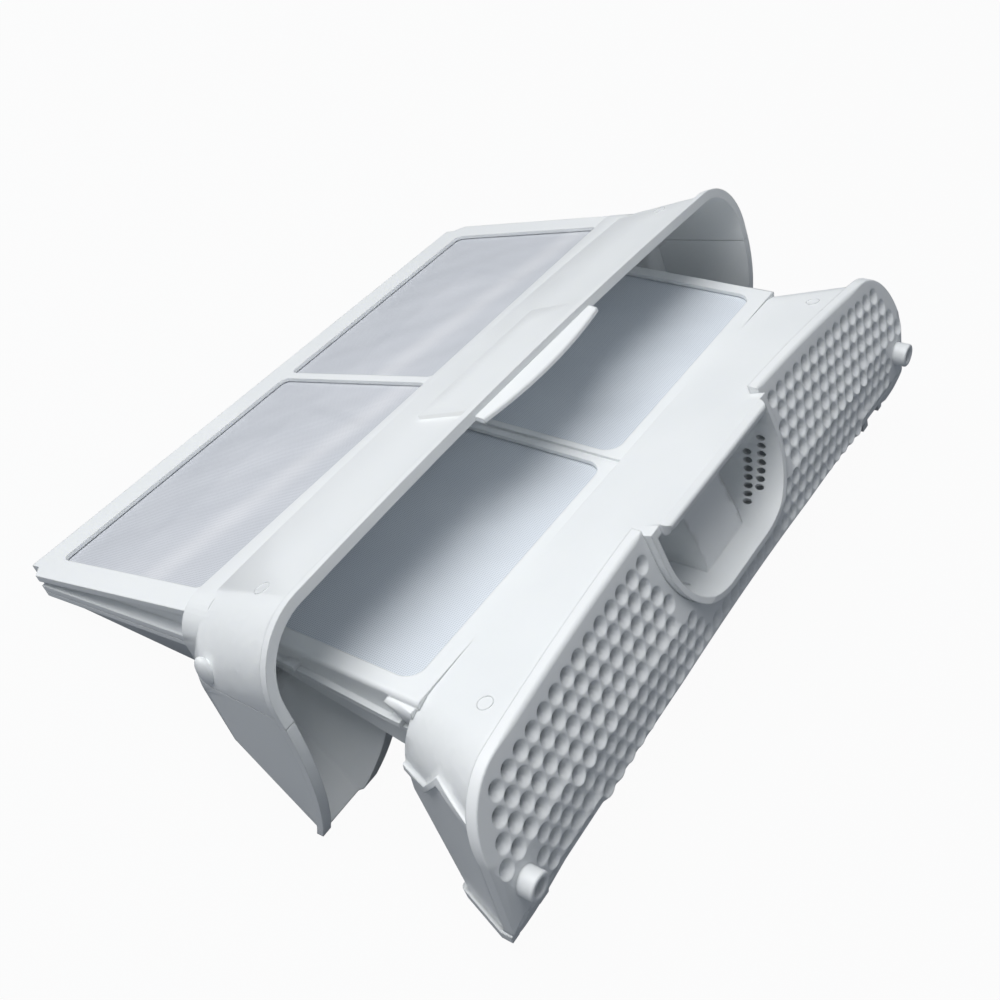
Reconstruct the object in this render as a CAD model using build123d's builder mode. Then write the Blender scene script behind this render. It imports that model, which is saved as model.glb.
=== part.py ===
from build123d import *
import math
import os

# Two-part lint filter of a tumble dryer: a flat outer filter with a flared collar, and an
# inner filter with a perforated head and a grip, drawn part of the way out of it.
# Sizes are in millimetres. Both filters are drawn nested, in the outer filter's own frame:
# X is the width, -Y is forward, and z = 0 is the top of the outer frame.

# Common moulding sizes
wall = 2.0
bar_plate = 2.4
mesh_thickness = 0.8
mesh_cover = 1.4
mesh_seat = 1.4
mesh_clearance = 0.2

# Outer filter: the pouch
pouch_half_width = 125.0
pouch_length = 90.0
outer_front_depth = 32.0
outer_rear_depth = 12.0
flange_overhang = 4.0
flange_thickness = 2.2
rear_wall = 4.0
outer_side_bar = 9.6
outer_rear_bar = 11.0
outer_front_bar = 3.0
outer_rib = 4.0
outer_window_corner = 3.0
rear_corner_cut = 8.0
outer_parting_rear = 5.5
outer_parting_lip = 20.0
parting_gap = 0.2

# Outer filter: the collar
throat_length = 8.0
throat_half_width = 130.0
throat_rise = 2.2
throat_floor = 36.0
throat_corner = 12.0
collar_length = 48.0
collar_back_half_width = 136.0
collar_lip_half_width = 139.0
collar_back_crown = 5.0
collar_lip_crown = 10.5
collar_back_belly = 33.0
collar_lip_belly = 50.0
collar_back_foot = 41.0
collar_lip_foot = 98.0
collar_tip_depth = 70.0
collar_tip_forward = 32.0
collar_waist_forward = 44.0
collar_corner = 22.0
collar_arch_radius = 2600.0
toe_run = 34.6
toe_width = 19.0
toe_round = 1.5
toe_inset_ratio = 2.1
rim_length = 3.0
rim_height = 1.5
pad_half_width = 43.0
pad_height = 1.4
pad_back = 14.0
tongue_half_width = 34.0
tongue_length = 9.0
tongue_drop = 3.4
tongue_thickness = 1.8

# Outer filter: the snap hinge along its rear edge
hinge_spacing = 160.0
barrel_length = 14.0
ear_length = 5.0
knuckle_radius = 3.0
hinge_pin_radius = 1.4
hinge_clearance = 0.2
knuckle_clearance = 0.5

# Inner filter: the pouch
inner_half_width = 113.9
inner_drop = 6.0
inner_rear_gap = 8.0
inner_rear = pouch_length - inner_rear_gap
inner_rear_depth = 3.6
inner_floor_taper = 0.01002222222
inner_slope = (outer_front_depth - outer_rear_depth) / pouch_length - inner_floor_taper
inner_shoulder = 1.6
inner_flange = 2.0
inner_side_bar = 6.3
inner_rear_bar = 12.0
inner_window_front = 10.0
inner_rib = 6.6
inner_rib_groove = 1.6
inner_rib_groove_depth = 0.9
inner_window_corner = 6.0
inner_parting_rear = 1.8
inner_parting_front = 11.5
nub_width = 4.0
nub_height = 2.0
nub_places = (51.0, 90.0)

# Inner filter: the head
head_back = 14.0
head_front = 48.0
head_back_half_width = 122.0
head_front_half_width = 134.2
head_back_crown = -5.6
head_front_crown = 6.2
head_back_belly = 28.0
head_front_belly = 40.5
head_back_foot = 36.0
head_front_foot = 90.0
head_foot_depth = 65.0
head_toe_run = 20.0
head_toe_width = 8.5
head_corner = 17.0
head_arch_radius = 950.0
head_back_arch_radius = 4200.0
head_flange = 1.4
head_flange_height = 2.6
heel_depth = 24.6
heel_length = 10.0
heel_rise = 15.5
heel_slant = 7.0
parting_nose = 19.6
gusset_length = 9.0
gusset_height = 9.6
gusset_thickness = 2.2

# Inner filter: the grille
grille_half_width = 140.0
grille_crown = 7.0
grille_belly = 42.2
grille_foot = 56.0
grille_corner = 22.0
grille_toe_run = 26.0
grille_toe_width = 12.0
grille_toe_round = 7.0
grille_top_forward = 44.5
grille_lean = 20.0
grille_straight = 36.6
grille_shin_forward = 59.4
grille_shin_depth = 43.0
grille_foot_forward = 55.5
grille_thickness = 3.5
hole_pitch = 6.3
hole_radius = 2.75
hole_sides = 6
hole_margin = 3.6
hole_crown_margin = 7.2
boss_spacing = 262.6
boss_depth = 35.2
boss_forward = 63.0
boss_back = 55.6
boss_radius = 4.4
boss_bore_radius = 2.6
boss_bore_length = 6.4
seat_gap = 0.1

# Inner filter: the grip in the middle of the head
grip_half_width = 36.0
grip_floor = 30.0
grip_round = 24.0
grip_wall = 2.2
grip_back = 32.0
grip_rim = 2.6
lip_half_width = 33.5
lip_forward = 51.0
lip_thickness = 2.6
lip_front = 4.6
lip_drop = 0.8
lip_round = 1.4
lip_corner = 3.0
pillar_half_width = 12.6
pillar_neck = 42.5
pillar_foot = 51.0
vented_wall = 1.6
vented_wall_back = (29.0, 33.4)
vented_wall_front = (36.6, 46.5)
vent_radius = 1.5
vent_pitch = 3.9

# How much of the pouch the inner filter still fills at rest, and how far its nose has dropped
kept_in = 33.8
draw_out = pouch_length - kept_in
nose_drop = 12.84
nose_fall = 0.6

reach = 170.0


def forward(distance):
    """Upright plane facing forward, at a distance in front of the collar's back."""
    return Plane.XZ.offset(distance)


def arch_fall(radius, x):
    """How far a wide arch has fallen at a distance x from its middle."""
    return radius - math.sqrt(radius**2 - x**2)


def mouth(plane, half_width, crown, belly, foot, corner, run, width, arch, toe=toe_round):
    """Section of the collar or the head: arched roof, upright ends and a foot at each end."""
    shoulder = crown - arch_fall(arch, half_width)
    heel = half_width - run
    hollow = -belly - arch_fall(arch, heel)
    with BuildSketch(plane) as section:
        with BuildLine():
            ThreePointArc((-half_width, shoulder), (0, crown), (half_width, shoulder))
            Polyline(
                (half_width, shoulder),
                (half_width, -foot),
                (half_width - width, -foot),
                (heel, hollow),
            )
            ThreePointArc((heel, hollow), (0, -belly), (-heel, hollow))
            Polyline(
                (-heel, hollow),
                (width - half_width, -foot),
                (-half_width, -foot),
                (-half_width, shoulder),
            )
        make_face()
        fillet(section.vertices().sort_by(Axis.Y)[-2:], corner)
        fillet(section.vertices().sort_by(Axis.Y)[:4], toe)
    return section.sketch


def collar_loft(inset, back, mode=Mode.ADD):
    """Flared collar between its back and its lip, with its skin moved inwards by an inset."""
    run = toe_run - toe_inset_ratio * inset
    width = toe_width - toe_inset_ratio * inset
    sections = [
        mouth(
            forward(back),
            collar_back_half_width - inset,
            collar_back_crown - inset,
            collar_back_belly - inset,
            collar_back_foot - inset,
            collar_corner - inset,
            run,
            width,
            collar_arch_radius,
        ),
        mouth(
            forward(collar_length),
            collar_lip_half_width - inset,
            collar_lip_crown - inset,
            collar_lip_belly - inset,
            collar_lip_foot - inset,
            collar_corner - inset,
            run,
            width,
            collar_arch_radius,
        ),
    ]
    loft(sections, ruled=True, mode=mode)


def lip_line(shift):
    """Front edge of the collar seen from the side: upright, then swept back to its feet."""
    start = (-collar_length + shift, -outer_parting_lip)
    waist = (-collar_waist_forward + shift, -(outer_parting_lip + collar_tip_depth) / 2)
    tip = (-collar_tip_forward + shift, -collar_tip_depth)
    return start, waist, tip


def outer_parting(y):
    """Height of the line along which the two outer halves meet."""
    fall = (outer_parting_lip - outer_parting_rear) / (pouch_length + collar_length)
    return -outer_parting_rear - fall * (pouch_length - y)


def inner_floor(y):
    """Height of the underside of the inner pouch."""
    return -inner_drop - inner_rear_depth - inner_slope * (inner_rear - y)


outer_slope = math.degrees(
    math.atan2(outer_front_depth - outer_rear_depth, pouch_length)
)
outer_floor_plane = Plane((0, 0, -outer_front_depth)).rotated((outer_slope, 0, 0))
inner_tilt = math.degrees(math.atan(inner_slope))
inner_floor_plane = Plane((0, 0, inner_floor(0))).rotated((inner_tilt, 0, 0))


def side_prism(points, half_width, mode=Mode.ADD):
    """Prism across the width from a side profile given as (y, z) points."""
    with BuildSketch(Plane.YZ) as profile:
        with BuildLine():
            Polyline(*points, close=True)
        make_face()
    extrude(profile.sketch, amount=half_width, both=True, mode=mode)


def window_pair(plane, inner_x, outer_x, low_y, high_y, corner, grow=0.0):
    """Sketch of the two windows of a frame, beside its middle rib."""
    width = outer_x - inner_x + 2 * grow
    length = high_y - low_y + 2 * grow
    middle = (inner_x + outer_x) / 2
    with BuildSketch(plane) as windows:
        with Locations((-middle, (low_y + high_y) / 2), (middle, (low_y + high_y) / 2)):
            RectangleRounded(width, length, corner + grow)
    return windows.sketch


# Windows of the four frames: inner edge, outer edge, near end and far end, and corner
outer_window = (
    outer_rib / 2,
    pouch_half_width - outer_side_bar,
    outer_front_bar,
    pouch_length - outer_rear_bar,
    outer_window_corner,
)
inner_window = (
    inner_rib / 2,
    inner_half_width - inner_side_bar,
    -inner_window_front,
    inner_rear - inner_rear_bar,
    inner_window_corner,
)

# The outer filter as one closed shell, later parted into its halves
wall_half_width = pouch_half_width - flange_overhang
outer_fall = math.tan(math.radians(outer_slope))
outer_plate_height = bar_plate / math.cos(math.radians(outer_slope))
flange_rear = pouch_length - rear_corner_cut
throat_front = throat_length + wall
cavity_rear = pouch_length - rear_wall


def outer_floor(y):
    """Height of the underside of the outer pouch."""
    return -outer_front_depth + outer_fall * y


with BuildPart() as collar_rim:
    collar_loft(-rim_height, throat_length)
    with BuildSketch(Plane.YZ) as rim_band:
        with BuildLine():
            start, waist, tip = lip_line(0)
            back_start, back_waist, back_tip = lip_line(rim_length)
            Line((start[0], reach), start)
            ThreePointArc(start, waist, tip)
            Line(tip, back_tip)
            ThreePointArc(back_tip, back_waist, back_start)
            Line(back_start, (back_start[0], reach))
            Line((back_start[0], reach), (start[0], reach))
        make_face()
    extrude(rim_band.sketch, amount=reach, both=True, mode=Mode.INTERSECT)

with BuildPart() as collar_pad:
    collar_loft(-pad_height, throat_length)
    with BuildSketch(Plane.XY) as pad_area:
        with Locations((0, -pad_back)):
            Rectangle(
                2 * pad_half_width,
                collar_length - rim_length - pad_back,
                align=(Align.CENTER, Align.MAX),
            )
    extrude(pad_area.sketch, amount=reach, mode=Mode.INTERSECT)

with BuildPart() as outer_shell:
    side_prism(
        [
            (0, 0),
            (pouch_length, 0),
            (pouch_length, -outer_rear_depth),
            (0, -outer_front_depth),
        ],
        wall_half_width,
    )
    # Overhanging flanges: the top frame, and the pair that meets at the parting line
    with BuildSketch(Plane.XY) as top_frame:
        Rectangle(2 * pouch_half_width, pouch_length, align=(Align.CENTER, Align.MIN))
        chamfer(top_frame.vertices().sort_by(Axis.Y)[-2:], rear_corner_cut)
    extrude(top_frame.sketch, amount=-bar_plate)
    side_prism(
        [
            (0, outer_parting(0) + flange_thickness),
            (flange_rear, outer_parting(flange_rear) + flange_thickness),
            (flange_rear, outer_parting(flange_rear) - flange_thickness),
            (0, outer_parting(0) - flange_thickness),
        ],
        pouch_half_width,
    )
    # Throat and collar, with the rolled rim and the raised pad on top
    with BuildSketch(forward(0)) as throat:
        with Locations((0, throat_rise)):
            Rectangle(
                2 * throat_half_width,
                throat_rise + throat_floor,
                align=(Align.CENTER, Align.MAX),
            )
        fillet(throat.vertices(), throat_corner)
    extrude(throat.sketch, amount=throat_front)
    collar_loft(0, throat_length)
    add(collar_rim.part)
    add(collar_pad.part)
    # Hollow inside: the pouch, the throat and the collar
    side_prism(
        [
            (-throat_front - wall, -bar_plate),
            (cavity_rear, -bar_plate),
            (cavity_rear, outer_floor(cavity_rear) + outer_plate_height),
            (-throat_front - wall, outer_floor(-throat_front - wall) + outer_plate_height),
        ],
        wall_half_width - wall,
        Mode.SUBTRACT,
    )
    collar_loft(wall, throat_front, Mode.SUBTRACT)
    # Lip: cut to its side line, with flat tips to stand on
    with BuildSketch(Plane.YZ) as lip_trim:
        with BuildLine():
            start, waist, tip = lip_line(0)
            Line((start[0], reach), start)
            ThreePointArc(start, waist, tip)
            Polyline(tip, (tip[0], -reach), (-reach, -reach), (-reach, reach), (start[0], reach))
        make_face()
    extrude(lip_trim.sketch, amount=reach, both=True, mode=Mode.SUBTRACT)
    side_prism(
        [(reach, -collar_tip_depth), (-reach, -collar_tip_depth), (-reach, -reach), (reach, -reach)],
        reach,
        Mode.SUBTRACT,
    )


def above_outer_parting(gap, mode):
    """Keeps or removes what lies above the parting line of the outer filter."""
    side_prism(
        [
            (reach, outer_parting(reach) - gap),
            (-reach, outer_parting(-reach) - gap),
            (-reach, reach),
            (reach, reach),
        ],
        reach,
        mode,
    )


hinge_y = pouch_length
hinge_z = outer_parting(pouch_length)
hinge_centres = [(-hinge_spacing / 2, hinge_y, hinge_z), (hinge_spacing / 2, hinge_y, hinge_z)]
ear_offset = (barrel_length + ear_length) / 2 + knuckle_clearance
ear_centres = [
    (side * hinge_spacing / 2 + end * ear_offset, hinge_y, hinge_z)
    for side in (-1, 1)
    for end in (-1, 1)
]
along_x = (0, 90, 0)

# Upper half of the outer filter
with BuildPart() as outer_upper_frame:
    add(outer_shell.part)
    above_outer_parting(0, Mode.INTERSECT)
    extrude(
        window_pair(Plane.XY.offset(wall), *outer_window),
        amount=-bar_plate - 2 * wall,
        mode=Mode.SUBTRACT,
    )
    extrude(
        window_pair(Plane.XY.offset(-mesh_cover), *outer_window, mesh_seat),
        amount=-bar_plate,
        mode=Mode.SUBTRACT,
    )
    side_prism(
        [
            (-collar_length + rim_length, collar_lip_crown),
            (-collar_length - tongue_length, collar_lip_crown - tongue_drop),
            (-collar_length - tongue_length, collar_lip_crown - tongue_drop - tongue_thickness),
            (-collar_length + rim_length, collar_lip_crown - tongue_thickness),
        ],
        tongue_half_width,
    )
    with Locations(*ear_centres):
        Cylinder(
            knuckle_radius + knuckle_clearance,
            ear_length + 2 * knuckle_clearance,
            rotation=along_x,
            mode=Mode.SUBTRACT,
        )
    with Locations(*hinge_centres):
        Cylinder(knuckle_radius, barrel_length, rotation=along_x)
        Cylinder(
            hinge_pin_radius + hinge_clearance,
            barrel_length,
            rotation=along_x,
            mode=Mode.SUBTRACT,
        )

# Lower half of the outer filter
outer_lower_window = (
    outer_rib / 2,
    wall_half_width - outer_side_bar,
    2 * outer_front_bar,
    pouch_length - outer_rear_bar,
    outer_window_corner,
)
with BuildPart() as outer_lower_frame:
    add(outer_shell.part)
    above_outer_parting(parting_gap, Mode.SUBTRACT)
    extrude(
        window_pair(outer_floor_plane.offset(-wall), *outer_lower_window),
        amount=bar_plate + 2 * wall,
        mode=Mode.SUBTRACT,
    )
    extrude(
        window_pair(outer_floor_plane.offset(mesh_cover), *outer_lower_window, mesh_seat),
        amount=bar_plate,
        mode=Mode.SUBTRACT,
    )
    with Locations(*hinge_centres):
        Cylinder(
            knuckle_radius + knuckle_clearance,
            barrel_length + 2 * knuckle_clearance,
            rotation=along_x,
            mode=Mode.SUBTRACT,
        )
    with Locations(*ear_centres):
        Cylinder(knuckle_radius, ear_length, rotation=along_x)
    with Locations(*hinge_centres):
        Cylinder(
            hinge_pin_radius,
            barrel_length + 2 * knuckle_clearance + ear_length,
            rotation=along_x,
        )


def inner_parting(y):
    """Height of the line along which the two inner halves meet, along the pouch."""
    share = (inner_rear - y) / (inner_rear + head_back)
    return -inner_drop - inner_parting_rear - share * (inner_parting_front - inner_parting_rear)


def head_loft(inset, back, mode=Mode.ADD):
    """Hollow head between its rear wall and the grille, with its skin moved inwards by an inset."""
    run = head_toe_run - toe_inset_ratio * inset
    width = head_toe_width - toe_inset_ratio * inset
    rear = mouth(
        forward(back),
        head_back_half_width - inset,
        head_back_crown - inset,
        head_back_belly - inset,
        head_back_foot - inset,
        head_corner - inset,
        run,
        width,
        head_back_arch_radius,
    )
    front = mouth(
        forward(head_front),
        head_front_half_width - inset,
        head_front_crown - inset,
        head_front_belly - inset,
        head_front_foot - inset,
        head_corner - inset,
        run,
        width,
        head_arch_radius,
    )
    loft([rear, front], ruled=True, mode=mode)
    extrude(front, amount=head_front, mode=mode)


def grille_line(shift):
    """Side line of the grille, moved back by a shift: leaning forward, then curling under."""
    lean = math.radians(grille_lean)
    slope = Vector(-math.sin(lean), -math.cos(lean))
    top = Vector(shift - grille_top_forward, grille_crown)
    knee = top + slope * grille_straight
    shin = Vector(shift - grille_shin_forward, -grille_shin_depth)
    foot = Vector(shift - grille_foot_forward, -grille_foot - wall)
    return top - slope * grille_straight, knee, shin, foot


def before_grille(shift, mode):
    """Removes or keeps what lies in front of the grille's line."""
    above, knee, shin, foot = grille_line(shift)
    front = [(foot.X, -reach), (-reach, -reach), (-reach, above.Y)]
    side_prism([above, knee, shin, foot] + front, reach, mode)


# Line along which the inner halves meet: straight along the pouch, with a heel on the head
inner_parting_line = [
    (reach, inner_parting(reach)),
    (-head_back + wall, inner_parting(-head_back)),
    (-head_back, -heel_depth),
    (-head_back - heel_length, -heel_depth),
    (-head_back - heel_length - heel_slant, -heel_rise),
    (-head_front, -parting_nose),
    (-reach, -parting_nose),
]


def above_inner_parting(gap, mode):
    """Keeps or removes what lies above the parting line of the inner filter."""
    line = [(y, z - gap) for y, z in inner_parting_line]
    side_prism(line + [(-reach, reach), (reach, reach)], reach, mode)


# Raised edges of the head: along its parting line and round its feet
with BuildPart() as head_edges:
    head_loft(-head_flange, head_back)
    with BuildSketch(Plane.YZ) as edge_bands:
        with BuildLine():
            line = inner_parting_line[2:]
            raised = [(y, z + head_flange_height) for y, z in reversed(line)]
            Polyline(*line, *raised, close=True)
        make_face()
        with Locations((-head_front, -head_foot_depth)):
            Rectangle(reach, head_flange_height, align=(Align.CENTER, Align.MIN))
    extrude(edge_bands.sketch, amount=reach, both=True, mode=Mode.INTERSECT)

# The inner filter as one closed shell, later parted into its halves
inner_plate_height = bar_plate / math.cos(math.radians(inner_tilt))
inner_front = -head_back - wall
inner_cavity_rear = inner_rear - inner_rear_bar
with BuildPart() as inner_shell:
    side_prism(
        [
            (inner_rear, -inner_drop),
            (inner_front, -inner_drop),
            (inner_front, inner_floor(inner_front)),
            (inner_rear, inner_floor(inner_rear)),
        ],
        inner_half_width,
    )
    fillet(inner_shell.edges().filter_by(Axis.Y).group_by(Axis.Z)[-1], inner_shoulder)
    side_prism(
        [
            (inner_cavity_rear, inner_parting(inner_cavity_rear) + inner_flange / 2),
            (inner_front, inner_parting(inner_front) + inner_flange / 2),
            (inner_front, inner_parting(inner_front) - inner_flange / 2),
            (inner_cavity_rear, inner_parting(inner_cavity_rear) - inner_flange / 2),
        ],
        inner_half_width + inner_flange,
    )
    head_loft(0, head_back)
    add(head_edges.part)
    side_prism(
        [
            (inner_cavity_rear, -inner_drop - bar_plate),
            (inner_front - wall, -inner_drop - bar_plate),
            (inner_front - wall, inner_floor(inner_front - wall) + inner_plate_height),
            (inner_cavity_rear, inner_floor(inner_cavity_rear) + inner_plate_height),
        ],
        inner_half_width - wall,
        Mode.SUBTRACT,
    )
    head_loft(wall, head_back + wall, Mode.SUBTRACT)
    side_prism(
        [(reach, -head_foot_depth), (-reach, -head_foot_depth), (-reach, -reach), (reach, -reach)],
        reach,
        Mode.SUBTRACT,
    )

# Grille plate with its pattern of holes
grille_heel = grille_half_width - grille_toe_run
boss_x = boss_spacing / 2
boss_centres = [(-boss_x, -boss_depth), (boss_x, -boss_depth)]


def rounded_distance(x, z, half_width, low, round_off):
    """Distance outside a bin shape: upright sides and a floor joined by round corners."""
    across = abs(x) - (half_width - round_off)
    down = (low + round_off) - z
    return math.hypot(max(across, 0), max(down, 0)) + min(max(across, down), 0) - round_off


def grille_floor_at(x):
    """Height of the lower edge of the grille."""
    if abs(x) <= grille_heel:
        return -grille_belly - arch_fall(head_arch_radius, x)
    hollow = -grille_belly - arch_fall(head_arch_radius, grille_heel)
    share = (abs(x) - grille_heel) / (grille_toe_run - grille_toe_width)
    return hollow + min(share, 1) * (-grille_foot - hollow)


def hole_fits(x, z):
    """Whether a hole stays clear of the plate's edge, the grip and the bosses."""
    room = hole_margin
    flat_z = z + arch_fall(head_arch_radius, x)
    corner = rounded_distance(x, -flat_z, grille_half_width, -grille_crown, grille_corner)
    grip = rounded_distance(x, z, grip_half_width + grip_wall, -grip_floor - grip_wall, grip_round)
    boss = math.hypot(abs(x) - boss_x, z + boss_depth) - boss_radius
    foot = rounded_distance(x, z, grille_half_width, -grille_foot, grille_toe_round)
    return (
        z >= grille_floor_at(x) + room
        and corner <= -room
        and foot <= -room
        and grip >= hole_radius + grip_wall / 2
        and boss >= hole_radius + grip_wall / 2
    )


row_pitch = hole_pitch * math.sqrt(3) / 2
row_count = int((grille_crown + grille_foot) / row_pitch)
column_count = int(grille_half_width / hole_pitch)
hole_centres = []
for row in range(row_count):
    for column in range(-column_count, column_count + 1):
        x = (column + (row % 2) / 2) * hole_pitch
        z = grille_crown - hole_crown_margin - row * row_pitch - arch_fall(head_arch_radius, x)
        if hole_fits(x, z):
            hole_centres.append((x, z))


def grip_section(plane, grow):
    """Outline of the finger recess: open at the top, round at the bottom."""
    with BuildSketch(plane) as outline:
        with Locations((0, head_front_crown)):
            Rectangle(
                2 * (grip_half_width + grow),
                head_front_crown + grip_floor + grow,
                align=(Align.CENTER, Align.MAX),
            )
        fillet(outline.vertices().sort_by(Axis.Y)[:2], grip_round + grow)
    return outline.sketch


with BuildPart() as head_grille:
    extrude(
        mouth(
            forward(grip_back),
            grille_half_width,
            grille_crown,
            grille_belly,
            grille_foot,
            grille_corner,
            grille_toe_run,
            grille_toe_width,
            head_arch_radius,
            grille_toe_round,
        ),
        amount=grip_back,
    )
    before_grille(0, Mode.SUBTRACT)
    before_grille(grille_thickness, Mode.INTERSECT)
    extrude(grip_section(forward(grip_back), grip_wall + seat_gap), amount=grip_back, mode=Mode.SUBTRACT)
    with BuildSketch(forward(grip_back)) as holes:
        with Locations(*hole_centres):
            RegularPolygon(hole_radius, hole_sides, rotation=180 / hole_sides)
    extrude(holes.sketch, amount=grip_back, mode=Mode.SUBTRACT)
    # Hollow bosses beside its feet
    with BuildSketch(forward(boss_back)) as boss_outline:
        with Locations(*boss_centres):
            Circle(boss_radius)
    extrude(boss_outline.sketch, amount=boss_forward - boss_back)
    with BuildSketch(forward(boss_forward - boss_bore_length)) as boss_bore:
        with Locations(*boss_centres):
            Circle(boss_bore_radius)
    extrude(boss_bore.sketch, amount=boss_bore_length, mode=Mode.SUBTRACT)

# Hollow of the finger recess
with BuildPart() as grip_hollow:
    head_loft(lip_thickness, head_back)
    extrude(
        grip_section(forward(grip_back + grip_wall), 0),
        amount=grip_back,
        mode=Mode.INTERSECT,
    )

# Vented walls across the back corners of the recess, with two columns of holes in each
vented_run = vented_wall_front[0] - vented_wall_back[0]
vented_reach = vented_wall_front[1] - vented_wall_back[1]
vented_length = math.hypot(vented_run, vented_reach)
vent_rows = int((grip_floor - grip_wall - vent_pitch) / vent_pitch)
with BuildPart() as vented_walls:
    for side in (-1, 1):
        along = Vector(side * vented_run, -vented_reach, 0)
        facing = Vector(-side * vented_reach, -vented_run, 0)
        start = Vector(side * vented_wall_back[0], -vented_wall_back[1], 0)
        wall_plane = Plane(start, x_dir=along, z_dir=facing)
        with BuildSketch(wall_plane) as wall_outline:
            Rectangle(vented_length, 2 * grip_floor, align=(Align.MIN, Align.CENTER))
            with Locations(*[
                (vented_length * (column + 1) / 3, side * vent_pitch * (row + 1 + column / 2))
                for column in range(2)
                for row in range(vent_rows)
            ]):
                Circle(vent_radius, mode=Mode.SUBTRACT)
        extrude(wall_outline.sketch, amount=-vented_wall)
    add(grip_hollow.part, mode=Mode.INTERSECT)

# Lip of the grip: the head's roof drawn out over the recess, with a rounded edge
lip_root = head_front_crown
lip_seat = grip_back + 2 * grip_wall
with BuildPart() as grip_lip:
    with BuildSketch(Plane.YZ) as lip_profile:
        with BuildLine():
            Polyline(
                (-lip_seat, lip_root - 2 * lip_thickness),
                (-head_front, lip_root),
                (-lip_forward, lip_root - lip_drop),
                (-lip_forward, lip_root - lip_drop - lip_front),
                (-head_front, lip_root - lip_thickness - lip_drop),
                (-lip_seat, lip_root - 3 * lip_thickness),
                close=True,
            )
        make_face()
        fillet(lip_profile.vertices().sort_by(Axis.X)[:2], lip_round)
    extrude(lip_profile.sketch, amount=lip_half_width, both=True)
    with BuildSketch(Plane.XY.offset(-reach)) as lip_plan:
        with Locations((0, -lip_forward)):
            RectangleRounded(2 * lip_half_width, lip_forward, lip_corner, align=(Align.CENTER, Align.MIN))
    extrude(lip_plan.sketch, amount=2 * reach, mode=Mode.INTERSECT)

# Grip: the cup of the recess with its rim proud of the grille, its lip, and the pillar under the lip
with BuildPart() as grip_cup:
    head_loft(0, head_back)
    extrude(grip_section(forward(grip_back), grip_wall), amount=grip_back, mode=Mode.INTERSECT)
    before_grille(-grip_rim, Mode.SUBTRACT)
    add(grip_hollow.part, mode=Mode.SUBTRACT)
    add(grip_lip.part)
    with BuildSketch(Plane.YZ) as pillar:
        with BuildLine():
            Spline(
                (-pillar_neck, lip_root - lip_thickness - lip_drop),
                (-pillar_neck, -grip_floor / 4),
                (-(pillar_neck + pillar_foot) / 2, -grip_floor * 0.6),
                (-pillar_foot, -grip_floor),
            )
            Polyline(
                (-pillar_foot, -grip_floor),
                (-pillar_foot, -grip_floor - grip_wall / 2),
                (-grip_back - grip_wall / 2, -grip_floor - grip_wall / 2),
                (-grip_back - grip_wall / 2, lip_root - 3 * lip_thickness),
                (-pillar_neck, lip_root - lip_thickness - lip_drop),
            )
        make_face()
    extrude(pillar.sketch, amount=pillar_half_width, both=True)
    add(vented_walls.part)

nub_ys = (inner_rear - nub_places[0], inner_rear - nub_places[1])
nub_centres = [
    (side * (inner_half_width + inner_flange / 2), y, inner_parting(y) + inner_flange)
    for side in (-1, 1)
    for y in nub_ys
]

# Upper half of the inner filter: its frame and the roof of the head
with BuildPart() as inner_upper_frame:
    add(inner_shell.part)
    above_inner_parting(0, Mode.INTERSECT)
    before_grille(grille_thickness, Mode.SUBTRACT)
    extrude(grip_section(forward(grip_back), grip_wall), amount=grip_back, mode=Mode.SUBTRACT)
    # Windows, the seats of the mesh, and the groove along the middle rib
    top_plane = Plane.XY.offset(-inner_drop)
    extrude(
        window_pair(top_plane.offset(wall), *inner_window),
        amount=-bar_plate - 2 * wall,
        mode=Mode.SUBTRACT,
    )
    extrude(
        window_pair(top_plane.offset(-mesh_cover), *inner_window, mesh_seat),
        amount=-bar_plate,
        mode=Mode.SUBTRACT,
    )
    with BuildSketch(top_plane) as rib_groove:
        with Locations((0, -head_back)):
            Rectangle(inner_rib_groove, inner_rear, align=(Align.CENTER, Align.MIN))
    extrude(rib_groove.sketch, amount=-inner_rib_groove_depth, mode=Mode.SUBTRACT)
    # Side nubs that hold the halves shut, and gussets against the head
    with Locations(*nub_centres):
        Box(2 * nub_height, nub_width, inner_flange)
    for side in (-1, 1):
        with BuildSketch(Plane.YZ.offset(side * (inner_half_width + gusset_thickness / 2))) as gusset:
            with BuildLine():
                Polyline(
                    (-head_back - wall / 2, -inner_drop - wall),
                    (-head_back + gusset_length, -inner_drop - wall),
                    (-head_back - wall / 2, -inner_drop - gusset_height),
                    close=True,
                )
            make_face()
        extrude(gusset.sketch, amount=gusset_thickness / 2, both=True)

# Lower half of the inner filter
with BuildPart() as inner_lower_frame:
    add(inner_shell.part)
    above_inner_parting(parting_gap, Mode.SUBTRACT)
    before_grille(grille_thickness + parting_gap, Mode.SUBTRACT)
    extrude(
        window_pair(inner_floor_plane.offset(-wall), *inner_window),
        amount=bar_plate + 2 * wall,
        mode=Mode.SUBTRACT,
    )
    extrude(
        window_pair(inner_floor_plane.offset(mesh_cover), *inner_window, mesh_seat),
        amount=bar_plate,
        mode=Mode.SUBTRACT,
    )


def mesh_panel(plane, window, side, rise):
    """One sheet of mesh, laid in the seat round its window."""
    inner_x, outer_x, low_y, high_y, corner = window
    grow = mesh_seat - mesh_clearance
    with BuildSketch(plane) as outline:
        with Locations((side * (inner_x + outer_x) / 2, (low_y + high_y) / 2)):
            RectangleRounded(outer_x - inner_x + 2 * grow, high_y - low_y + 2 * grow, corner + grow)
    extrude(outline.sketch, amount=rise * mesh_thickness)


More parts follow.
